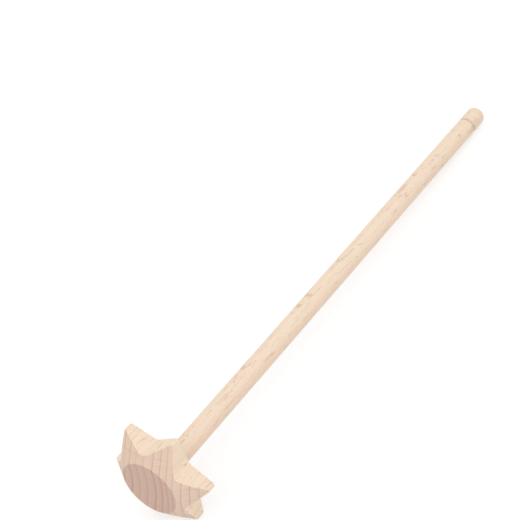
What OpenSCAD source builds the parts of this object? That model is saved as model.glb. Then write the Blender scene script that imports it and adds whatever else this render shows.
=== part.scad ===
// Wooden twirling whisk: a milled star head glued on a round handle.
// Each piece is drawn upright, with the head's bottom face at zero, and is then laid down as the whisk lies
// on a table: on two neighbouring star points and the handle's free end, which points along +X.
// The origin is on the table, under the middle of the whisk's box.

/* [Whisk] */
// Length from the head's bottom face to the handle's free end
whisk_l = 365; // [250:5:450]

/* [Head] */
// Number of star points
star_points = 6; // [5:1:8]
// Diameter across the star points
head_d = 62; // [54:1:80]
// Height of the head along the handle
head_h = 15.9; // [14:0.1:24]
// Diameter of the flat bottom face
face_d = 33.6; // [24:0.2:38]
// Height of the straight rim between the cone and the top face
rim_h = 5.1; // [3:0.1:8]
// Width left across each star point
tip_w = 1.4; // [0.6:0.1:4]
// Distance from the axis to the bottom of each notch
notch_root_r = 21; // [19.5:0.5:23]
// Radius of the rounded bottom of each notch
notch_fillet_r = 4.5; // [3:0.5:7]
// Width of the broken edge round the top face
edge_break = 0.4; // [0.2:0.1:1]

/* [Socket] */
// Wood left between the socket's floor and the bottom face
socket_floor_h = 4.4; // [4:0.2:6]
// Depth of the dimple that the drill's point leaves in the floor
spur_h = 1.2; // [0.5:0.1:2]
// Diameter of that dimple
spur_d = 6; // [3:0.5:8]
// Width of the countersink at the socket's mouth
mouth_break = 0.5; // [0.3:0.1:1]
// Clearance for glue all round the tenon
glue_gap = 0.1; // [0.05:0.05:0.25]
// Clearance for glue under the tenon
glue_floor_h = 0.5; // [0.2:0.1:1]

/* [Handle] */
// Diameter of the handle
handle_d = 12; // [10:0.5:16]
// Radius of the rounded edge at the free end
end_r = 3; // [1:0.5:4]
// Chamfer at the tenon's end
tenon_chamfer = 1; // [0.5:0.1:2]
// Distance from the free end to the middle of the ring groove
groove_from_end = 15.5; // [8:0.5:25]
// Width of the ring groove
groove_w = 2.6; // [1.6:0.1:4]
// Depth of the ring groove
groove_depth = 0.8; // [0.4:0.1:1.2]

/* [Hidden] */
$fn = 96;

// Length by which a cutter runs past the surface that it cuts
over = 1;

head_r = head_d / 2;
face_r = face_d / 2;
handle_r = handle_d / 2;
socket_r = handle_r + glue_gap;
cone_h = head_h - rim_h;
tenon_end_h = socket_floor_h + glue_floor_h;
glue_top_h = head_h - mouth_break;

// Angle from one star point to the next, and half the angle that a blunt point takes up
pitch = 360 / star_points;
tip_half_angle = asin(tip_w / head_d);

// A notch's outline, as along and across its middle line: from the corner of one star point, straight in to the
// rounded bottom, and out to the corner of the next. The straight sides are tangents to the rounded bottom.
corner = [head_r * cos(pitch / 2 - tip_half_angle), head_r * sin(pitch / 2 - tip_half_angle)];
bottom_centre = [notch_root_r + notch_fillet_r, 0];
corner_reach = norm(bottom_centre - corner);
side_angle = 180 - atan2(corner[1], bottom_centre[0] - corner[0]) - asin(notch_fillet_r / corner_reach);
side_l = sqrt(pow(corner_reach, 2) - pow(notch_fillet_r, 2));
side_direction = [cos(side_angle), sin(side_angle)];
side_start = corner - side_l * side_direction;
side_end = corner + over * side_direction;

// The ring groove's section is the bite of this circle
groove_circle_r = (pow(groove_w / 2, 2) + pow(groove_depth, 2)) / (2 * groove_depth);
groove_h = whisk_l - groove_from_end;

// Lying down, the two lowest star points touch the table at the top face's broken edge, and the free end touches
// it with its rounded edge. The lean of the axis is where both touch at once.
point_drop = corner[0];
point_h = head_h - edge_break;
end_centre_r = handle_r - end_r;
end_centre_h = whisk_l - end_r;
drop_difference = point_drop - end_centre_r;
touch_distance = norm([drop_difference, end_centre_h - point_h]);
lean = atan2(drop_difference, end_centre_h - point_h) - asin(end_r / touch_distance);

// Height of the axis over the table at the bottom face, and the whisk's reach along X
axis_h = point_h * sin(lean) + point_drop * cos(lean);
reach_min = -face_r * sin(lean);
reach_max = end_centre_h * cos(lean) + end_centre_r * sin(lean) + end_r;

// Lays an upright piece down on the table
module laid() {
  translate([-(reach_min + reach_max) / 2, 0, axis_h])
    rotate([0, 90 + lean, 0])
      children();
}

// The turned block: flat bottom face, cone, straight rim and flat top face with a broken edge
module turned_block() {
  rotate_extrude()
    polygon([
      [0, 0],
      [face_r, 0],
      [head_r, cone_h],
      [head_r, head_h - edge_break],
      [head_r - edge_break, head_h],
      [0, head_h]
    ]);
}

// The cutter that mills one notch, parallel to the handle
module notch_cutter() {
  translate([0, 0, -over])
    linear_extrude(head_h + 2 * over)
      union() {
        translate(bottom_centre)
          circle(r = notch_fillet_r);
        polygon([
          bottom_centre,
          side_start,
          side_end,
          [head_r + over, side_end[1]],
          [head_r + over, -side_end[1]],
          [side_end[0], -side_end[1]],
          [side_start[0], -side_start[1]]
        ]);
      }
}

// The blind hole for the handle, with the drill's dimple in its floor and a countersunk mouth
module socket() {
  translate([0, 0, socket_floor_h])
    cylinder(h = head_h - socket_floor_h + over, r = socket_r);
  translate([0, 0, socket_floor_h - spur_h])
    cylinder(h = spur_h, r1 = 0, r2 = spur_d / 2);
  translate([0, 0, head_h - mouth_break])
    cylinder(h = mouth_break, r1 = socket_r, r2 = socket_r + mouth_break);
}

// Star head with a notch between each two points and a blind socket
module head() {
  color("blanchedalmond")
    laid()
      difference() {
        turned_block();
        for (k = [0 : star_points - 1])
          rotate([0, 0, k * pitch])
            notch_cutter();
        socket();
      }
}

// The handle's outline, turned about the axis
module handle_rod() {
  rotate_extrude()
    difference() {
      union() {
        translate([0, tenon_end_h + tenon_chamfer])
          square([handle_r, end_centre_h - tenon_end_h - tenon_chamfer]);
        polygon([
          [0, tenon_end_h],
          [handle_r - tenon_chamfer, tenon_end_h],
          [handle_r, tenon_end_h + tenon_chamfer],
          [0, tenon_end_h + tenon_chamfer]
        ]);
        translate([0, end_centre_h])
          square([end_centre_r, end_r]);
        intersection() {
          translate([end_centre_r, end_centre_h])
            circle(r = end_r);
          translate([end_centre_r, end_centre_h])
            square(end_r);
        }
      }
      translate([handle_r - groove_depth + groove_circle_r, groove_h])
        circle(r = groove_circle_r);
    }
}

// Round handle with a tenon end, a ring groove and a rounded free end
module handle() {
  color("bisque")
    laid()
      handle_rod();
}

// Cured glue that fills the clearance between the socket and the tenon
module glue_line() {
  color("khaki")
    laid()
      difference() {
        intersection() {
          socket();
          cylinder(h = glue_top_h, r = head_r);
        }
        handle_rod();
      }
}

head();
handle();
glue_line();
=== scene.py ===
"""Wooden twirling whisk: a milled star head and a round handle of raw beech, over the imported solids.

Lengths are in metres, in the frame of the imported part. Each piece is shaped upright, with the head's
bottom face at zero and the handle going up, and is then laid down as the whisk lies on the table: on
two neighbouring star points and the handle's rounded end, which points along +X.
"""

import logging
import math
from dataclasses import dataclass, field
from enum import Enum
from typing import Callable

import bmesh
import bpy
from mathutils import Matrix, Vector


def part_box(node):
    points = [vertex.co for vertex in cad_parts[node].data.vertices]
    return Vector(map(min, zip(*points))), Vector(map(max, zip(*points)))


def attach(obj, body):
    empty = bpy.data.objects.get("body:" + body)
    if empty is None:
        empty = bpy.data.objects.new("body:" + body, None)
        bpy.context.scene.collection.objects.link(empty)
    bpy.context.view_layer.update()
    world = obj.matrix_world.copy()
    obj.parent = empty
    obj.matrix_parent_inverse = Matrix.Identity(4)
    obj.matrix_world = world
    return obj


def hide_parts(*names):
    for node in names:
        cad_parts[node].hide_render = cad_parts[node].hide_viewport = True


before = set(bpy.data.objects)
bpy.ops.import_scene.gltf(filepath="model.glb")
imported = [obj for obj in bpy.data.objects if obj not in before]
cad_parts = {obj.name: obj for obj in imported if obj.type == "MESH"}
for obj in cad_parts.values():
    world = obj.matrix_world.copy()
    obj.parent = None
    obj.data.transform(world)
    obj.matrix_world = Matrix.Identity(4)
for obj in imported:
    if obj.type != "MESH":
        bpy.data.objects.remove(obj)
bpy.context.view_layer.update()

MM = 0.001
BODY = "root"

Colour = tuple[float, float, float, float]
Corner = tuple[float, float, float]

log = logging.getLogger("whisk")


class Slot(Enum):
    """Names for the material slots."""

    HEAD_WOOD = "head_wood"
    HANDLE_WOOD = "handle_wood"
    GLUE = "glue"


class Part(Enum):
    """What a test picks from a mesh."""

    EDGE = "EDGE"
    FACE = "FACE"


@dataclass(frozen=True)
class WhiskSizes:
    """The sizes of the whisk that its pieces share."""

    length: float = 365 * MM
    head_r: float = 31 * MM
    head_h: float = 15.9 * MM
    face_r: float = 16.8 * MM
    rim_h: float = 5.1 * MM
    edge_break: float = 0.4 * MM
    tip_w: float = 1.4 * MM
    points: int = 6
    handle_r: float = 6 * MM
    end_r: float = 3 * MM

    @property
    def pitch(self) -> float:
        """Angle from one star point to the next."""
        return 2 * math.pi / self.points

    @property
    def cone_h(self) -> float:
        """Height of the cone between the bottom face and the rim."""
        return self.head_h - self.rim_h

    @property
    def point_corner(self) -> tuple[float, float]:
        """Corner of a blunt star point, along and across the middle line of the notch beside it."""
        angle = self.pitch / 2 - math.asin(self.tip_w / 2 / self.head_r)
        return self.head_r * math.cos(angle), self.head_r * math.sin(angle)


@dataclass(frozen=True)
class Rest:
    """How the whisk lies on the table: the lean of its axis, and where its upright origin comes to lie."""

    sizes: WhiskSizes = WhiskSizes()

    @property
    def lean(self) -> float:
        """Angle of the axis down to the table, where the star points and the rounded end touch at once."""
        drop = self.sizes.point_corner[0] - (self.sizes.handle_r - self.sizes.end_r)
        rise = (self.sizes.length - self.sizes.end_r) - (self.sizes.head_h - self.sizes.edge_break)
        return math.atan2(drop, rise) - math.asin(self.sizes.end_r / math.hypot(drop, rise))

    @property
    def turn(self) -> float:
        """Turn about Y that lays an upright piece down."""
        return math.pi / 2 + self.lean

    @property
    def origin(self) -> Vector:
        """Where the middle of the head's bottom face comes to lie."""
        sizes = self.sizes
        point_h = sizes.head_h - sizes.edge_break
        height = point_h * math.sin(self.lean) + sizes.point_corner[0] * math.cos(self.lean)
        low = -sizes.face_r * math.sin(self.lean)
        inner_r = sizes.handle_r - sizes.end_r
        end_h = sizes.length - sizes.end_r
        high = end_h * math.cos(self.lean) + inner_r * math.sin(self.lean) + sizes.end_r
        return Vector((-(low + high) / 2, 0, height))

    def lay_down(self, piece: bpy.types.Object) -> None:
        """Lays an upright piece down and puts its place into its mesh.

        Args:
            piece: The piece, upright and at the origin.
        """
        bpy.ops.object.select_all(action="DESELECT")
        piece.select_set(True)
        bpy.context.view_layer.objects.active = piece
        piece.rotation_euler = (0, self.turn, 0)
        piece.location = self.origin
        bpy.ops.object.transform_apply(location=True, rotation=True, scale=True)


class Bench:
    """One mesh in edit mode, with the tools that shape it."""

    def __init__(self, name: str, radius: float, facets: int, height: float = 0, along: float = 0) -> None:
        """Starts a piece from a filled circle and opens it for shaping.

        Args:
            name: The piece's name.
            radius: The circle's radius.
            facets: The number of sides.
            height: The circle's height.
            along: Where its middle lies along X.
        """
        bpy.ops.object.select_all(action="DESELECT")
        bpy.ops.mesh.primitive_circle_add(
            vertices=facets, radius=radius, fill_type="NGON", location=(along, 0, height)
        )
        self.piece: bpy.types.Object = bpy.context.active_object
        self.piece.name = name
        self.piece.data.name = name
        bpy.ops.object.transform_apply(location=True, rotation=True, scale=True)
        bpy.ops.object.mode_set(mode="EDIT")
        bpy.ops.mesh.select_mode(type="FACE")

    def pick(self, part: Part, test: Callable[[Vector], bool]) -> int:
        """Selects the edges or faces whose corners all pass a test.

        Args:
            part: What is picked.
            test: Says of a corner's place whether it counts.

        Returns:
            How many were picked.
        """
        bpy.ops.mesh.select_mode(type=part.value)
        bpy.ops.mesh.select_all(action="DESELECT")
        shape = bmesh.from_edit_mesh(self.piece.data)
        items = shape.edges if part is Part.EDGE else shape.faces
        picked = [item for item in items if all(test(corner.co) for corner in item.verts)]
        for item in picked:
            item.select_set(True)
        bmesh.update_edit_mesh(self.piece.data)
        return len(picked)

    def pull(self, step: Corner, grow: Corner = (1, 1, 1)) -> None:
        """Extrudes what is picked, moves it and scales it about the axis.

        Args:
            step: How far it moves.
            grow: Scale along each direction.
        """
        bpy.ops.mesh.extrude_region_move(TRANSFORM_OT_translate={"value": step})
        if grow != (1, 1, 1):
            bpy.ops.transform.resize(value=grow, center_override=(0, 0, 0))

    def raise_ring(self, profile: list[tuple[float, float]], radius: float, height: float) -> None:
        """Draws the picked face up through the rings of a turned outline.

        Args:
            profile: Radius and height of each ring in turn.
            radius: The picked face's radius.
            height: The picked face's height.
        """
        for ring_r, ring_h in profile:
            scale = ring_r / radius
            self.pull((0, 0, ring_h - height), (scale, scale, 1))
            radius, height = ring_r, ring_h

    def soften(self, width: float, steps: int, angle: float) -> None:
        """Rounds every edge that is sharper than an angle.

        Args:
            width: Distance from the old edge to the start of the rounding.
            steps: Number of strips in the rounding.
            angle: The least angle, in degrees.
        """
        bpy.ops.mesh.select_mode(type="EDGE")
        bpy.ops.mesh.select_all(action="DESELECT")
        bpy.ops.mesh.edges_select_sharp(sharpness=math.radians(angle))
        bpy.ops.mesh.bevel(offset=width, segments=steps, profile=0.5, clamp_overlap=False)

    def close(self) -> bpy.types.Object:
        """Turns all faces outwards and leaves edit mode.

        Returns:
            The piece.
        """
        bpy.ops.mesh.select_mode(type="FACE")
        bpy.ops.mesh.select_all(action="SELECT")
        bpy.ops.mesh.normals_make_consistent(inside=False)
        bpy.ops.object.mode_set(mode="OBJECT")
        return self.piece

    def reopen(self) -> None:
        """Opens the closed piece again."""
        bpy.ops.object.select_all(action="DESELECT")
        self.piece.select_set(True)
        bpy.context.view_layer.objects.active = self.piece
        bpy.ops.object.mode_set(mode="EDIT")

    def cut_away(self, cutter: bpy.types.Object) -> None:
        """Takes a cutter's shape out of the closed piece, and the cutter with it.

        Args:
            cutter: The shape to take out.
        """
        bpy.ops.object.select_all(action="DESELECT")
        self.piece.select_set(True)
        bpy.context.view_layer.objects.active = self.piece
        bpy.ops.object.modifier_add(type="BOOLEAN")
        cut = self.piece.modifiers[-1]
        cut.operation = "DIFFERENCE"
        cut.solver = "EXACT"
        cut.object = cutter
        bpy.ops.object.modifier_apply(modifier=cut.name)
        bpy.data.objects.remove(cutter)

    def even_shading(self, angle: float) -> None:
        """Shades curves smoothly and keeps flat faces flat.

        Args:
            angle: Edges sharper than this, in degrees, stay sharp.
        """
        bpy.ops.object.select_all(action="DESELECT")
        self.piece.select_set(True)
        bpy.context.view_layer.objects.active = self.piece
        bpy.ops.object.shade_smooth_by_angle(angle=math.radians(angle))
        bpy.ops.object.modifier_add(type="WEIGHTED_NORMAL")
        even = self.piece.modifiers[-1]
        even.keep_sharp = True
        bpy.ops.object.modifier_apply(modifier=even.name)


class Patch:
    """Places and joins the nodes of one material or node group."""

    def __init__(self, tree: bpy.types.NodeTree) -> None:
        """Takes the tree to work in."""
        self.tree = tree

    def place(self, kind: str, **settings: object) -> bpy.types.Node:
        """Adds a node.

        Args:
            kind: The node's type.
            settings: Its settings by name.

        Returns:
            The node.
        """
        node = self.tree.nodes.new(kind)
        for name, value in settings.items():
            setattr(node, name, value)
        return node

    def feed(self, socket: bpy.types.NodeSocket, value: object) -> None:
        """Joins an output to an input, or sets the input to a plain value.

        Args:
            socket: The input.
            value: An output socket, a number, a vector or a colour.
        """
        if isinstance(value, bpy.types.NodeSocket):
            self.tree.links.new(value, socket)
        else:
            socket.default_value = value

    def sum_up(self, operation: str, *values: object, clamp: bool = False) -> bpy.types.NodeSocket:
        """Reckons with numbers.

        Args:
            operation: The Math node's operation.
            values: Its inputs in order.
            clamp: Whether the result is kept from 0 to 1.

        Returns:
            The result.
        """
        node = self.place("ShaderNodeMath", operation=operation, use_clamp=clamp)
        for socket, value in zip(node.inputs, values):
            self.feed(socket, value)
        return node.outputs[0]

    def vector(self, operation: str, *values: object, result: int = 0) -> bpy.types.NodeSocket:
        """Reckons with vectors.

        Args:
            operation: The Vector Math node's operation.
            values: Its inputs in order.
            result: The output to return: 0 for a vector, 1 for a number.

        Returns:
            The result.
        """
        node = self.place("ShaderNodeVectorMath", operation=operation)
        for socket, value in zip(node.inputs, values):
            self.feed(socket, value)
        return node.outputs[result]

    def step(self, value: object, low: float, high: float, smooth: bool = True) -> bpy.types.NodeSocket:
        """Maps a range of values to 0 to 1.

        Args:
            value: The value.
            low: Where the result is 0.
            high: Where the result is 1.
            smooth: Whether the ends are eased.

        Returns:
            The mapped value.
        """
        node = self.place("ShaderNodeMapRange", interpolation_type="SMOOTHSTEP" if smooth else "LINEAR")
        self.feed(node.inputs["Value"], value)
        node.inputs["From Min"].default_value = low
        node.inputs["From Max"].default_value = high
        return node.outputs["Result"]

    def cloud(
        self, vector: object, scale: float, detail: float = 2, roughness: float = 0.5
    ) -> bpy.types.NodeSocket:
        """Makes a cloudy value about 0.5.

        Args:
            vector: Where it is read.
            scale: How many changes there are in a unit.
            detail: Number of finer layers.
            roughness: Strength of the finer layers.

        Returns:
            The value.
        """
        node = self.place("ShaderNodeTexNoise", noise_dimensions="3D")
        self.feed(node.inputs["Vector"], vector)
        node.inputs["Scale"].default_value = scale
        node.inputs["Detail"].default_value = detail
        node.inputs["Roughness"].default_value = roughness
        return node.outputs["Fac"]

    def blend(self, factor: object, first: object, second: object) -> bpy.types.NodeSocket:
        """Mixes two colours.

        Args:
            factor: Share of the second.
            first: The first colour.
            second: The second colour.

        Returns:
            The mixed colour.
        """
        first_slot, second_slot, mixed_slot = 6, 7, 2
        node = self.place("ShaderNodeMix", data_type="RGBA", blend_type="MIX")
        self.feed(node.inputs["Factor"], factor)
        self.feed(node.inputs[first_slot], first)
        self.feed(node.inputs[second_slot], second)
        return node.outputs[mixed_slot]

    def insert(self, group: bpy.types.NodeTree, **values: object) -> bpy.types.Node:
        """Places a shared effect.

        Args:
            group: The effect's node group.
            values: Its inputs by name, with _ for a space.

        Returns:
            The placed group.
        """
        node = self.place("ShaderNodeGroup")
        node.node_tree = group
        for name, value in values.items():
            self.feed(node.inputs[name.replace("_", " ")], value)
        return node


class Effect:
    """A shared effect as a node group, which is built the first time that it is asked for."""

    name: str = ""
    takes: tuple[tuple[str, str, object], ...] = ()
    gives: tuple[tuple[str, str], ...] = ()

    def group(self) -> bpy.types.NodeTree:
        """Builds the effect, or finds it.

        Returns:
            The node group.
        """
        found = bpy.data.node_groups.get(self.name)
        if found is not None:
            return found
        tree = bpy.data.node_groups.new(self.name, "ShaderNodeTree")
        for name, kind, value in self.takes:
            socket = tree.interface.new_socket(name, in_out="INPUT", socket_type=kind)
            socket.default_value = value
        for name, kind in self.gives:
            tree.interface.new_socket(name, in_out="OUTPUT", socket_type=kind)
        patch = Patch(tree)
        source = patch.place("NodeGroupInput")
        sink = patch.place("NodeGroupOutput")
        self.wire(patch, source, sink)
        return tree

    def wire(self, patch: Patch, source: bpy.types.Node, sink: bpy.types.Node) -> None:
        """Joins the effect's nodes.

        Args:
            patch: The group's nodes.
            source: The group's inputs.
            sink: The group's outputs.
        """
        raise NotImplementedError


class PithPolar(Effect):
    """Turns a place in the wood into how far it is from the pith, along the ring, and along the grain."""

    name = "pith_polar"
    takes = (("Place", "NodeSocketVector", (0, 0, 0)), ("Pith", "NodeSocketVector", (0, 0, 0)))
    gives = (("Grain", "NodeSocketVector"),)
    arc_r: float = 80

    def wire(self, patch: Patch, source: bpy.types.Node, sink: bpy.types.Node) -> None:
        """Joins the effect's nodes.

        Args:
            patch: The group's nodes.
            source: The group's inputs.
            sink: The group's outputs.
        """
        offset = patch.vector("SUBTRACT", source.outputs["Place"], source.outputs["Pith"])
        flat = patch.vector("MULTIPLY", offset, (1, 1, 0))
        distance = patch.vector("LENGTH", flat, result=1)
        parts = patch.place("ShaderNodeSeparateXYZ")
        patch.feed(parts.inputs[0], offset)
        towards = patch.sum_up("MULTIPLY", parts.outputs["Y"], -1)
        angle = patch.sum_up("ARCTAN2", parts.outputs["X"], towards)
        arc = patch.sum_up("MULTIPLY", angle, self.arc_r)
        joined = patch.place("ShaderNodeCombineXYZ")
        patch.feed(joined.inputs["X"], distance)
        patch.feed(joined.inputs["Y"], arc)
        patch.feed(joined.inputs["Z"], parts.outputs["Z"])
        patch.feed(sink.inputs["Grain"], joined.outputs[0])


class GrowthRings(Effect):
    """Each year's growth: a tone that deepens through the year, and the dark line that ends it."""

    name = "growth_rings"
    takes = (("Grain", "NodeSocketVector", (0, 0, 0)), ("Waviness", "NodeSocketFloat", 0.5))
    gives = (("Line", "NodeSocketFloat"), ("Tone", "NodeSocketFloat"))
    year_ends: tuple[float, ...] = (
        38.5, 43.0, 47.8, 52.5, 57.3, 62.2, 67.2, 72.2, 77.4, 81.5, 84.9, 87.9, 91.8, 95.4, 99.3, 103.2,
    )
    line_depths: tuple[float, ...] = (
        0.6, 0.5, 0.8, 0.5, 0.7, 0.95, 0.25, 0.35, 0.85, 0.95, 0.7, 0.65, 0.95, 1.0, 0.75, 0.7,
    )
    slow_changes: Corner = (0.03, 0.05, 0.006)
    quick_changes: Corner = (0.2, 0.9, 0.05)
    quick_waviness: float = 0.5
    dark_from: float = 0.8
    dark_full: float = 0.95
    dark_until: float = 0.97
    deepening: float = 1.6

    def wire(self, patch: Patch, source: bpy.types.Node, sink: bpy.types.Node) -> None:
        """Joins the effect's nodes.

        Args:
            patch: The group's nodes.
            source: The group's inputs.
            sink: The group's outputs.
        """
        grain = source.outputs["Grain"]
        slow = patch.cloud(patch.vector("MULTIPLY", grain, self.slow_changes), 1, detail=1)
        quick = patch.cloud(patch.vector("MULTIPLY", grain, self.quick_changes), 1, detail=2)
        slow_about_zero = patch.sum_up("SUBTRACT", slow, 0.5)
        slow_shift = patch.sum_up("MULTIPLY", slow_about_zero, source.outputs["Waviness"])
        quick_about_zero = patch.sum_up("SUBTRACT", quick, 0.5)
        quick_shift = patch.sum_up("MULTIPLY", quick_about_zero, self.quick_waviness)
        parts = patch.place("ShaderNodeSeparateXYZ")
        patch.feed(parts.inputs[0], grain)
        distance = patch.sum_up("ADD", parts.outputs["X"], slow_shift)
        distance = patch.sum_up("ADD", distance, quick_shift)
        first, last = self.year_ends[0], self.year_ends[-1]
        share = patch.step(distance, first, last, smooth=False)
        years = patch.place("ShaderNodeValToRGB")
        patch.feed(years.inputs[0], share)
        depths = patch.place("ShaderNodeValToRGB")
        patch.feed(depths.inputs[0], share)
        depths.color_ramp.interpolation = "CONSTANT"
        count = len(self.year_ends) - 1
        for ramp in (years.color_ramp, depths.color_ramp):
            while len(ramp.elements) < count + 1:
                ramp.elements.new(0.5)
        for year, end in enumerate(self.year_ends):
            spot = (end - first) / (last - first)
            years.color_ramp.elements[year].position = spot
            years.color_ramp.elements[year].color = (year / count,) * 3 + (1,)
            depths.color_ramp.elements[year].position = spot
            depths.color_ramp.elements[year].color = (self.line_depths[min(year + 1, count)],) * 3 + (1,)
        age = patch.sum_up("MULTIPLY", years.outputs[0], count)
        season = patch.sum_up("FRACT", age)
        rise = patch.step(season, self.dark_from, self.dark_full)
        fall = patch.step(season, 1.0, self.dark_until)
        line = patch.sum_up("MULTIPLY", patch.sum_up("MULTIPLY", rise, fall), depths.outputs[0])
        patch.feed(sink.inputs["Line"], line)
        patch.feed(sink.inputs["Tone"], patch.sum_up("POWER", season, self.deepening))


class RayFlecks(Effect):
    """The wood's rays: thin lines across the rings on end grain, and short dark spindles on the sides."""

    name = "ray_flecks"
    takes = (("Grain", "NodeSocketVector", (0, 0, 0)),)
    gives = (("Fleck", "NodeSocketFloat"), ("Fine", "NodeSocketFloat"))
    bold_changes: Corner = (0.012, 0.32, 0.02)
    bold_width: float = 0.022
    bold_breaks: Corner = (0.03, 0.5, 0.22)
    bold_seen: tuple[float, float] = (0.42, 0.58)
    fine_changes: Corner = (0.03, 1.3, 0.05)
    fine_width: float = 0.06
    fine_breaks: Corner = (0.08, 1.6, 0.4)
    fine_seen: tuple[float, float] = (0.4, 0.65)

    def wire(self, patch: Patch, source: bpy.types.Node, sink: bpy.types.Node) -> None:
        """Joins the effect's nodes.

        Args:
            patch: The group's nodes.
            source: The group's inputs.
            sink: The group's outputs.
        """
        grain = source.outputs["Grain"]
        bold = self.threads(patch, grain, self.bold_changes, self.bold_width)
        bold_cloud = patch.cloud(patch.vector("MULTIPLY", grain, self.bold_breaks), 1)
        bold_length = patch.step(bold_cloud, *self.bold_seen)
        fine = self.threads(patch, grain, self.fine_changes, self.fine_width)
        fine_cloud = patch.cloud(patch.vector("MULTIPLY", grain, self.fine_breaks), 1)
        fine_length = patch.step(fine_cloud, *self.fine_seen)
        patch.feed(sink.inputs["Fleck"], patch.sum_up("MULTIPLY", bold, bold_length))
        patch.feed(sink.inputs["Fine"], patch.sum_up("MULTIPLY", fine, fine_length))

    def threads(
        self, patch: Patch, grain: bpy.types.NodeSocket, changes: Corner, width: float
    ) -> bpy.types.NodeSocket:
        """Draws thin sheets where a cloud passes its middle value.

        Args:
            patch: The group's nodes.
            grain: The place in the wood.
            changes: Changes of the cloud in a millimetre along each direction.
            width: How far from the middle value a sheet reaches.

        Returns:
            1 in the sheets and 0 between them.
        """
        cloud = patch.cloud(patch.vector("MULTIPLY", grain, changes), 1, detail=1)
        distance = patch.sum_up("ABSOLUTE", patch.sum_up("SUBTRACT", cloud, 0.5))
        return patch.step(distance, width, width / 3)


class Pores(Effect):
    """The fine open pores, round on end grain and drawn out along the sides."""

    name = "pores"
    takes = (("Grain", "NodeSocketVector", (0, 0, 0)),)
    gives = (("Pore", "NodeSocketFloat"), ("Fibre", "NodeSocketFloat"))
    pore_changes: Corner = (3.6, 3.6, 0.7)
    pore_seen: tuple[float, float] = (0.5, 0.75)
    fibre_changes: Corner = (2.2, 2.2, 0.05)

    def wire(self, patch: Patch, source: bpy.types.Node, sink: bpy.types.Node) -> None:
        """Joins the effect's nodes.

        Args:
            patch: The group's nodes.
            source: The group's inputs.
            sink: The group's outputs.
        """
        grain = source.outputs["Grain"]
        speckle = patch.cloud(patch.vector("MULTIPLY", grain, self.pore_changes), 1, detail=3, roughness=0.7)
        fibre = patch.cloud(patch.vector("MULTIPLY", grain, self.fibre_changes), 1, detail=4, roughness=0.65)
        patch.feed(sink.inputs["Pore"], patch.step(speckle, *self.pore_seen))
        patch.feed(sink.inputs["Fibre"], fibre)


class CutFace(Effect):
    """How squarely a face cuts across the grain: 0 along it and 1 on pure end grain."""

    name = "cut_face"
    takes = (("Facing", "NodeSocketVector", (0, 0, 1)),)
    gives = (("End Grain", "NodeSocketFloat"),)
    cut_from: float = 0.6

    def wire(self, patch: Patch, source: bpy.types.Node, sink: bpy.types.Node) -> None:
        """Joins the effect's nodes.

        Args:
            patch: The group's nodes.
            source: The group's inputs.
            sink: The group's outputs.
        """
        parts = patch.place("ShaderNodeSeparateXYZ")
        patch.feed(parts.inputs[0], source.outputs["Facing"])
        across = patch.sum_up("ABSOLUTE", parts.outputs["Z"])
        patch.feed(sink.inputs["End Grain"], patch.step(across, self.cut_from, 1.0))


class EdgeWear(Effect):
    """Where an edge has been rubbed, in a band that the wood's unevenness breaks up."""

    name = "edge_wear"
    takes = (("Place", "NodeSocketVector", (0, 0, 0)),)
    gives = (("Rubbed", "NodeSocketFloat"),)
    reach: float = 0.7 * MM
    facings: int = 6
    band_seen: tuple[float, float] = (0.99, 0.8)
    breaks: float = 0.7
    breaks_seen: tuple[float, float] = (0.3, 0.7)

    def wire(self, patch: Patch, source: bpy.types.Node, sink: bpy.types.Node) -> None:
        """Joins the effect's nodes.

        Args:
            patch: The group's nodes.
            source: The group's inputs.
            sink: The group's outputs.
        """
        rounded = patch.place("ShaderNodeBevel", samples=self.facings)
        rounded.inputs["Radius"].default_value = self.reach
        facing = patch.place("ShaderNodeNewGeometry")
        likeness = patch.vector("DOT_PRODUCT", rounded.outputs[0], facing.outputs["True Normal"], result=1)
        band = patch.step(likeness, *self.band_seen)
        broken = patch.cloud(source.outputs["Place"], self.breaks, detail=3)
        broken = patch.step(broken, *self.breaks_seen)
        patch.feed(sink.inputs["Rubbed"], patch.sum_up("MULTIPLY", band, broken))


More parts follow.
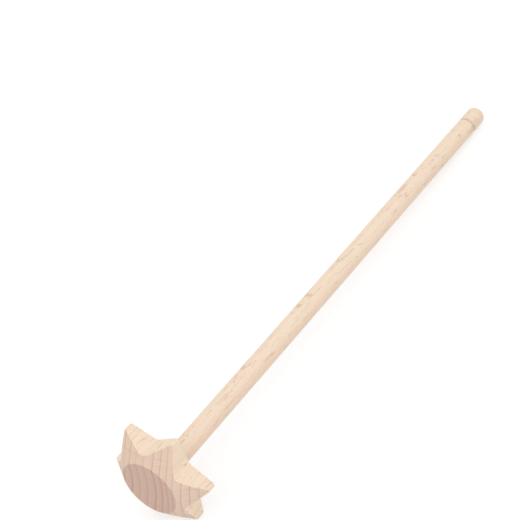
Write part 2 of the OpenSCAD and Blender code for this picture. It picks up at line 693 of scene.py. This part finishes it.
@dataclass(frozen=True)
class BeechFinish:
    """Sanded raw beech: its colours on the sides and on end grain, its rings, rays and pores, and painted
    shade in a ring groove where one is given.
    """

    name: str
    pith: Corner
    side: Colour = (0.885, 0.725, 0.56, 1)
    side_deep: Colour = (0.86, 0.655, 0.505, 1)
    end: Colour = (0.64, 0.445, 0.365, 1)
    end_deep: Colour = (0.55, 0.36, 0.28, 1)
    # line: the dark ring-line colour, also used as the colour of the painted shade in the ring groove
    line: Colour = (0.36, 0.215, 0.15, 1)
    fleck: Colour = (0.56, 0.36, 0.26, 1)
    rubbed: Colour = (0.90, 0.76, 0.62, 1)
    waviness: float = 1.2
    end_line_share: float = 0.75
    side_line_share: float = 0.06
    fleck_share: float = 0.5
    fine_share: float = 0.22
    pore_share: float = 0.8
    rubbed_share: float = 0.35
    # painted shade: distances in millimetres from the ring groove's middle where the painted shade starts
    # and where it is full
    groove_shade_span: tuple[float, float] = (1.1, 0.2)
    refraction: float = 1.45
    relief_share: float = 0.35
    relief_h: float = 0.06 * MM
    groove_h: float | None = None

    def material(self, rest: Rest) -> bpy.types.Material:
        """Makes the finish.

        Args:
            rest: How the whisk lies, so that the grain runs along it.

        Returns:
            The material.
        """
        material = bpy.data.materials.new(self.name)
        material.use_nodes = True
        patch = Patch(material.node_tree)
        shader = material.node_tree.nodes["Principled BSDF"]
        spots = patch.place("ShaderNodeTexCoord")
        upright = patch.place("ShaderNodeMapping", vector_type="TEXTURE")
        patch.feed(upright.inputs["Vector"], spots.outputs["Object"])
        upright.inputs["Location"].default_value = rest.origin
        upright.inputs["Rotation"].default_value = (0, rest.turn, 0)
        upright.inputs["Scale"].default_value = (MM, MM, MM)
        facing = patch.place("ShaderNodeMapping", vector_type="VECTOR")
        patch.feed(facing.inputs["Vector"], spots.outputs["Normal"])
        facing.inputs["Rotation"].default_value = (0, -rest.turn, 0)
        place = upright.outputs[0]
        grain = patch.insert(PithPolar().group(), Place=place, Pith=self.pith).outputs["Grain"]
        rings = patch.insert(GrowthRings().group(), Grain=grain, Waviness=self.waviness)
        rays = patch.insert(RayFlecks().group(), Grain=grain)
        pores = patch.insert(Pores().group(), Grain=grain)
        cut = patch.insert(CutFace().group(), Facing=facing.outputs[0]).outputs["End Grain"]
        rubbed = patch.insert(EdgeWear().group(), Place=place).outputs["Rubbed"]
        colour = self.colour(patch, rings, rays, pores, cut, rubbed)
        # painted shade: the handle's ring groove is darkened, as shadow in the recess
        if self.groove_h is not None:
            colour = self.paint_groove_shade(patch, place, colour)
        patch.feed(shader.inputs["Base Color"], colour)
        self.surface(patch, shader, rings, rays, pores, cut, rubbed)
        return material

    def colour(
        self,
        patch: Patch,
        rings: bpy.types.Node,
        rays: bpy.types.Node,
        pores: bpy.types.Node,
        cut: bpy.types.NodeSocket,
        rubbed: bpy.types.NodeSocket,
    ) -> bpy.types.NodeSocket:
        """Builds up the wood's colour.

        Args:
            patch: The material's nodes.
            rings: The placed rings.
            rays: The placed rays.
            pores: The placed pores.
            cut: The share of end grain.
            rubbed: Where edges are rubbed.

        Returns:
            The colour.
        """
        side_tone = patch.sum_up("MULTIPLY_ADD", pores.outputs["Fibre"], 0.9, -0.2, clamp=True)
        side_tone = patch.sum_up("MULTIPLY", patch.sum_up("ADD", side_tone, rings.outputs["Tone"]), 0.5)
        side = patch.blend(side_tone, self.side, self.side_deep)
        pore_tone = patch.sum_up("MULTIPLY", pores.outputs["Pore"], self.pore_share)
        end_tone = patch.sum_up("ADD", rings.outputs["Tone"], pore_tone)
        end = patch.blend(patch.sum_up("MULTIPLY", end_tone, 0.6, clamp=True), self.end, self.end_deep)
        wood = patch.blend(cut, side, end)
        reach = self.end_line_share - self.side_line_share
        line_share = patch.sum_up("MULTIPLY_ADD", cut, reach, self.side_line_share)
        wood = patch.blend(patch.sum_up("MULTIPLY", rings.outputs["Line"], line_share), wood, self.line)
        fine = patch.sum_up("MULTIPLY", rays.outputs["Fine"], self.fine_share)
        bold = patch.sum_up("MULTIPLY", rays.outputs["Fleck"], self.fleck_share)
        wood = patch.blend(patch.sum_up("MAXIMUM", fine, bold), wood, self.fleck)
        return patch.blend(patch.sum_up("MULTIPLY", rubbed, self.rubbed_share), wood, self.rubbed)

    def paint_groove_shade(self, patch: Patch, place: object, colour: object) -> bpy.types.NodeSocket:
        """Paints shade into the ring groove: darkens it towards its middle with the ring-line colour, as
        painted shadow in the recess.

        Args:
            patch: The material's nodes.
            place: The upright place, in millimetres.
            colour: The wood's colour.

        Returns:
            The colour with the painted shade in the groove.
        """
        parts = patch.place("ShaderNodeSeparateXYZ")
        patch.feed(parts.inputs[0], place)
        distance = patch.sum_up("ABSOLUTE", patch.sum_up("SUBTRACT", parts.outputs["Z"], self.groove_h / MM))
        uneven = patch.sum_up("MULTIPLY", patch.cloud(place, 0.5, detail=2), 0.9)
        share = patch.sum_up("MULTIPLY", patch.step(distance, *self.groove_shade_span), uneven)
        return patch.blend(share, colour, self.line)

    def surface(
        self,
        patch: Patch,
        shader: bpy.types.Node,
        rings: bpy.types.Node,
        rays: bpy.types.Node,
        pores: bpy.types.Node,
        cut: bpy.types.NodeSocket,
        rubbed: bpy.types.NodeSocket,
    ) -> None:
        """Sets the wood's gloss and relief.

        Args:
            patch: The material's nodes.
            shader: The wood's shader.
            rings: The placed rings.
            rays: The placed rays.
            pores: The placed pores.
            cut: The share of end grain.
            rubbed: Where edges are rubbed.
        """
        rough = patch.sum_up("MULTIPLY_ADD", cut, 0.12, 0.56)
        rough = patch.sum_up("MULTIPLY_ADD", pores.outputs["Pore"], 0.1, rough)
        rough = patch.sum_up("MULTIPLY_ADD", rubbed, -0.1, rough)
        patch.feed(shader.inputs["Roughness"], rough)
        shader.inputs["IOR"].default_value = self.refraction
        dips = patch.sum_up("MULTIPLY_ADD", pores.outputs["Pore"], -0.7, pores.outputs["Fibre"])
        dips = patch.sum_up("MULTIPLY_ADD", rays.outputs["Fleck"], -0.3, dips)
        dips = patch.sum_up("MULTIPLY_ADD", rings.outputs["Line"], 0.35, dips)
        relief = patch.place("ShaderNodeBump")
        relief.inputs["Strength"].default_value = self.relief_share
        relief.inputs["Distance"].default_value = self.relief_h
        patch.feed(relief.inputs["Height"], dips)
        patch.feed(shader.inputs["Normal"], relief.outputs[0])


@dataclass(frozen=True)
class GlueFinish:
    """Dried wood glue: honey-coloured, half glossy, with small bubbles."""

    name: str = "dried_glue"
    thin: Colour = (0.80, 0.64, 0.40, 1)
    thick: Colour = (0.62, 0.43, 0.21, 1)
    bubble_changes: float = 2.2
    bubble_seen: tuple[float, float] = (0.05, 0.3)
    relief_share: float = 0.4
    relief_h: float = 0.05 * MM

    def material(self, rest: Rest) -> bpy.types.Material:
        """Makes the finish.

        Args:
            rest: How the whisk lies.

        Returns:
            The material.
        """
        material = bpy.data.materials.new(self.name)
        material.use_nodes = True
        patch = Patch(material.node_tree)
        shader = material.node_tree.nodes["Principled BSDF"]
        spots = patch.place("ShaderNodeTexCoord")
        upright = patch.place("ShaderNodeMapping", vector_type="TEXTURE")
        patch.feed(upright.inputs["Vector"], spots.outputs["Object"])
        upright.inputs["Location"].default_value = rest.origin
        upright.inputs["Rotation"].default_value = (0, rest.turn, 0)
        upright.inputs["Scale"].default_value = (MM, MM, MM)
        depth = patch.cloud(upright.outputs[0], 0.8, detail=3)
        patch.feed(shader.inputs["Base Color"], patch.blend(depth, self.thin, self.thick))
        patch.feed(shader.inputs["Roughness"], patch.sum_up("MULTIPLY_ADD", depth, 0.25, 0.25))
        bubbles = patch.place("ShaderNodeTexVoronoi")
        patch.feed(bubbles.inputs["Vector"], upright.outputs[0])
        bubbles.inputs["Scale"].default_value = self.bubble_changes
        relief = patch.place("ShaderNodeBump")
        relief.inputs["Strength"].default_value = self.relief_share
        relief.inputs["Distance"].default_value = self.relief_h
        patch.feed(relief.inputs["Height"], patch.step(bubbles.outputs["Distance"], *self.bubble_seen))
        patch.feed(shader.inputs["Normal"], relief.outputs[0])
        return material


@dataclass
class StarHead:
    """The milled star: flat bottom face, cone, straight rim, rounded notches and a blind socket."""

    sizes: WhiskSizes
    rest: Rest
    notch_root_r: float = 21 * MM
    notch_fillet_r: float = 4.5 * MM
    socket_floor_h: float = 4.4 * MM
    spur_h: float = 1.2 * MM
    spur_r: float = 3 * MM
    mouth_break: float = 0.5 * MM
    glue_gap: float = 0.1 * MM
    soft_edge: float = 0.22 * MM
    over: float = 1 * MM
    facets: int = 192
    finish: BeechFinish = field(default_factory=lambda: BeechFinish("beech_head", pith=(-17.6, 70.5, 0)))

    def block(self) -> Bench:
        """Turns the block: bottom face, cone, rim and a top face with a broken edge.

        Returns:
            The bench with the closed block.
        """
        sizes = self.sizes
        bench = Bench("star_head", sizes.face_r, self.facets)
        profile = [
            (sizes.head_r, sizes.cone_h),
            (sizes.head_r, sizes.head_h - sizes.edge_break),
            (sizes.head_r - sizes.edge_break, sizes.head_h),
        ]
        bench.raise_ring(profile, sizes.face_r, 0)
        bench.close()
        return bench

    def notch_cutter(self) -> bpy.types.Object:
        """Shapes the cutter for one notch: a round bottom with two tangent sides that open outwards.

        Returns:
            The cutter for the notch on +X.
        """
        sizes = self.sizes
        corner = Vector(sizes.point_corner)
        middle = Vector((self.notch_root_r + self.notch_fillet_r, 0))
        reach = (middle - corner).length
        corner_angle = math.atan2(corner.y, middle.x - corner.x)
        side_angle = math.pi - corner_angle - math.asin(self.notch_fillet_r / reach)
        side = Vector((math.cos(side_angle), math.sin(side_angle)))
        start = corner - math.sqrt(reach**2 - self.notch_fillet_r**2) * side
        end = corner + self.over * side
        facets = 120
        bench = Bench("notch_cutter", self.notch_fillet_r, facets, -self.over, middle.x)
        bpy.ops.mesh.bisect(
            plane_co=(start.x, 0, 0), plane_no=(1, 0, 0), use_fill=False, clear_outer=True, threshold=1e-7
        )
        near = self.notch_fillet_r / 1000
        bench.pick(Part.EDGE, lambda place: abs(place.x - start.x) < near)
        bench.pull((end.x - start.x, 0, 0), (1, end.y / start.y, 1))
        bench.pull((sizes.head_r + self.over - end.x, 0, 0))
        bpy.ops.mesh.select_mode(type="FACE")
        bpy.ops.mesh.select_all(action="SELECT")
        bench.pull((0, 0, sizes.head_h + 2 * self.over))
        return bench.close()

    def socket_cutter(self) -> bpy.types.Object:
        """Shapes the cutter for the blind socket, with the drill's dimple and the countersunk mouth.

        Returns:
            The cutter.
        """
        sizes = self.sizes
        socket_r = sizes.handle_r + self.glue_gap
        facets = 96
        bench = Bench("socket_cutter", socket_r, facets, self.socket_floor_h)
        mouth_h = sizes.head_h - self.mouth_break
        mouth_r = socket_r + self.mouth_break
        bench.raise_ring([(socket_r, mouth_h), (mouth_r, sizes.head_h)], socket_r, self.socket_floor_h)
        bench.pull((0, 0, self.over))
        bench.pick(Part.FACE, lambda place: place.z < self.socket_floor_h + self.over / 10)
        bpy.ops.mesh.inset(thickness=socket_r - self.spur_r, depth=0)
        bench.pull((0, 0, -self.spur_h))
        bpy.ops.mesh.merge(type="CENTER")
        return bench.close()

    def build(self) -> bpy.types.Object:
        """Mills the notches and the socket out of the block and softens the edges.

        Returns:
            The head, laid down.
        """
        bench = self.block()
        cutter = self.notch_cutter()
        for place in range(self.sizes.points):
            turned = cutter.copy()
            turned.data = cutter.data.copy()
            bpy.context.collection.objects.link(turned)
            turned.data.transform(Matrix.Rotation(place * self.sizes.pitch, 4, "Z"))
            bench.cut_away(turned)
        bpy.data.objects.remove(cutter)
        bench.cut_away(self.socket_cutter())
        bench.reopen()
        bpy.ops.mesh.select_all(action="SELECT")
        bpy.ops.mesh.remove_doubles(threshold=0.03 * MM)
        bench.soften(self.soft_edge, 3, 30)
        bench.close()
        bench.even_shading(35)
        self.rest.lay_down(bench.piece)
        return bench.piece

    def dress(self, piece: bpy.types.Object) -> None:
        """Gives the head its finish.

        Args:
            piece: The head.
        """
        piece.data.materials.append(self.finish.material(self.rest))


@dataclass
class TurnedHandle:
    """The round handle: chamfered tenon end, long shaft, ring groove and rounded free end."""

    sizes: WhiskSizes
    rest: Rest
    tenon_end_h: float = 4.9 * MM
    tenon_chamfer: float = 1 * MM
    groove_from_end: float = 15.5 * MM
    groove_w: float = 2.6 * MM
    groove_depth: float = 0.8 * MM
    soft_edge: float = 0.15 * MM
    groove_rings: int = 12
    end_rings: int = 10
    facets: int = 128

    @property
    def groove_h(self) -> float:
        """Height of the middle of the ring groove."""
        return self.sizes.length - self.groove_from_end

    @property
    def finish(self) -> BeechFinish:
        """The handle's wood, cut from nearer the bark than the head's."""
        return BeechFinish(
            "beech_handle", pith=(6.0, 70.9, 0), groove_h=self.groove_h, side_line_share=0.1, fleck_share=0.5
        )

    def groove_profile(self) -> list[tuple[float, float]]:
        """Lists the rings of the groove, whose section is the bite of a circle.

        Returns:
            Radius and height of each ring.
        """
        half = self.groove_w / 2
        circle_r = (half**2 + self.groove_depth**2) / (2 * self.groove_depth)
        middle_r = self.sizes.handle_r - self.groove_depth + circle_r
        reach = math.asin(half / circle_r)
        angles = [reach * (2 * step / self.groove_rings - 1) for step in range(self.groove_rings + 1)]
        return [(middle_r - circle_r * math.cos(a), self.groove_h + circle_r * math.sin(a)) for a in angles]

    def end_profile(self) -> list[tuple[float, float]]:
        """Lists the rings of the rounded end.

        Returns:
            Radius and height of each ring.
        """
        sizes = self.sizes
        middle_r, middle_h = sizes.handle_r - sizes.end_r, sizes.length - sizes.end_r
        angles = [math.pi / 2 * step / self.end_rings for step in range(self.end_rings + 1)]
        return [(middle_r + sizes.end_r * math.cos(a), middle_h + sizes.end_r * math.sin(a)) for a in angles]

    def build(self) -> bpy.types.Object:
        """Turns the handle from the tenon's end to the free end.

        Returns:
            The handle, laid down.
        """
        handle_r = self.sizes.handle_r
        start_r = handle_r - self.tenon_chamfer
        bench = Bench("turned_handle", start_r, self.facets, self.tenon_end_h)
        profile = [(handle_r, self.tenon_end_h + self.tenon_chamfer)]
        profile += self.groove_profile() + self.end_profile()
        bench.raise_ring(profile, start_r, self.tenon_end_h)
        bench.soften(self.soft_edge, 3, 30)
        bench.close()
        bench.even_shading(30)
        self.rest.lay_down(bench.piece)
        return bench.piece

    def dress(self, piece: bpy.types.Object) -> None:
        """Gives the handle its finish.

        Args:
            piece: The handle.
        """
        piece.data.materials.append(self.finish.material(self.rest))


@dataclass
class GlueLine:
    """The dried glue between socket and tenon, whose solid is kept as it was packed."""

    rest: Rest
    finish: GlueFinish = GlueFinish()

    def dress(self, node: bpy.types.Object) -> None:
        """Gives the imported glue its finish.

        Args:
            node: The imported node.
        """
        node.data.materials.clear()
        node.data.materials.append(self.finish.material(self.rest))


@dataclass
class Studio:
    """A pale floor, soft light from above and the camera."""

    camera_at: Corner = (-0.491394, -0.437479, 0.555527)
    looks_along: Corner = (0.560514, 0.556803, -0.613021)
    picture_up: Corner = (0.633206, 0.188925, 0.750571)
    lens: float = 98.838
    sensor: float = 36
    near: float = 0.05
    far: float = 30
    floor_w: float = 8
    floor_h: float = -0.01 * MM
    floor_colour: Colour = (0.9, 0.9, 0.9, 1)
    floor_roughness: float = 0.9
    floor_gloss: float = 0.1
    seen_colour: Colour = (0.42, 0.42, 0.42, 1)
    seen_lift: float = 0.62
    sky_strength: float = 0.92
    lamp_at: Corner = (-0.45, -0.5, 1.25)
    lamp_w: float = 1.1
    lamp_power: float = 2.8

    def camera(self) -> None:
        """Sets up the camera."""
        data = bpy.data.cameras.new("camera")
        data.lens = self.lens
        data.sensor_width = self.sensor
        data.clip_start = self.near
        data.clip_end = self.far
        camera = bpy.data.objects.new("camera", data)
        bpy.context.collection.objects.link(camera)
        back = -Vector(self.looks_along)
        up = Vector(self.picture_up)
        right = up.cross(back)
        turn = Matrix((right, up, back)).transposed().to_4x4()
        camera.matrix_world = Matrix.Translation(self.camera_at) @ turn
        bpy.context.scene.camera = camera

    def sky(self) -> None:
        """Sets an even soft sky that looks white behind the whisk."""
        world = bpy.data.worlds.new("sky")
        bpy.context.scene.world = world
        world.use_nodes = True
        patch = Patch(world.node_tree)
        back = world.node_tree.nodes["Background"]
        back.inputs["Color"].default_value = (1, 1, 1, 1)
        rays = patch.place("ShaderNodeLightPath")
        seen = patch.sum_up("MAXIMUM", rays.outputs["Is Camera Ray"], rays.outputs["Is Glossy Ray"])
        seen = patch.sum_up("MAXIMUM", seen, rays.outputs["Is Transmission Ray"])
        strength = patch.sum_up("MULTIPLY_ADD", seen, 1 - self.sky_strength, self.sky_strength)
        patch.feed(back.inputs["Strength"], strength)

    def lamp(self) -> None:
        """Hangs one large soft lamp over the whisk."""
        data = bpy.data.lights.new("soft_lamp", "AREA")
        data.shape = "DISK"
        data.size = self.lamp_w
        data.energy = self.lamp_power
        lamp = bpy.data.objects.new("soft_lamp", data)
        bpy.context.collection.objects.link(lamp)
        lamp.location = self.lamp_at
        lamp.rotation_euler = (-Vector(self.lamp_at)).to_track_quat("-Z", "Y").to_euler()

    def floor(self) -> bpy.types.Object:
        """Lays the pale floor, which looks white and keeps the whisk's shadow.

        Returns:
            The floor.
        """
        bpy.ops.object.select_all(action="DESELECT")
        bpy.ops.mesh.primitive_plane_add(size=self.floor_w, location=(0, 0, self.floor_h))
        floor = bpy.context.active_object
        floor.name = "floor"
        material = bpy.data.materials.new("pale_floor")
        material.use_nodes = True
        floor.data.materials.append(material)
        patch = Patch(material.node_tree)
        shader = material.node_tree.nodes["Principled BSDF"]
        shader.inputs["Base Color"].default_value = self.floor_colour
        shader.inputs["Roughness"].default_value = self.floor_roughness
        shader.inputs["Specular IOR Level"].default_value = self.floor_gloss
        rays = patch.place("ShaderNodeLightPath")
        seen = patch.sum_up("MAXIMUM", rays.outputs["Is Camera Ray"], rays.outputs["Is Glossy Ray"])
        seen = patch.sum_up("MAXIMUM", seen, rays.outputs["Is Transmission Ray"])
        pale = patch.place("ShaderNodeBsdfDiffuse")
        pale.inputs["Color"].default_value = self.seen_colour
        lift = patch.place("ShaderNodeEmission")
        lift.inputs["Strength"].default_value = self.seen_lift
        white = patch.place("ShaderNodeAddShader")
        patch.feed(white.inputs[0], pale.outputs[0])
        patch.feed(white.inputs[1], lift.outputs[0])
        both = patch.place("ShaderNodeMixShader")
        patch.feed(both.inputs[0], seen)
        patch.feed(both.inputs[1], shader.outputs[0])
        patch.feed(both.inputs[2], white.outputs[0])
        patch.feed(material.node_tree.nodes["Material Output"].inputs["Surface"], both.outputs[0])
        return floor


def report_piece(piece: bpy.types.Object, node: str) -> None:
    """Logs a piece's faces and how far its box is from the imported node's.

    Args:
        piece: The piece.
        node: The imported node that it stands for.
    """
    corners = [Vector(corner) for corner in piece.bound_box]
    low = [min(corner[axis] for corner in corners) for axis in range(3)]
    high = [max(corner[axis] for corner in corners) for axis in range(3)]
    node_low, node_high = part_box(node)
    gap = max(abs(a - b) for a, b in zip(low + high, list(node_low) + list(node_high)))
    log.info("%s: %d faces, box within %.3f mm of %s", piece.name, len(piece.data.polygons), gap / MM, node)


def main() -> None:
    """Builds the whisk's pieces in order, then the studio."""
    logging.basicConfig(level=logging.INFO, format="%(name)s: %(message)s")
    sizes = WhiskSizes()
    rest = Rest(sizes)
    head = StarHead(sizes, rest)
    star = head.build()
    head.dress(star)
    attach(star, BODY)
    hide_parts("head")
    report_piece(star, "head")
    handle = TurnedHandle(sizes, rest)
    rod = handle.build()
    handle.dress(rod)
    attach(rod, BODY)
    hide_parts("handle")
    report_piece(rod, "handle")
    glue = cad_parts["glue_line"]
    GlueLine(rest).dress(glue)
    report_piece(glue, "glue_line")
    studio = Studio()
    studio.floor()
    studio.sky()
    studio.lamp()
    studio.camera()
    scene = bpy.context.scene
    scene.view_settings.view_transform = "Standard"


if __name__ == "__main__":
    main()
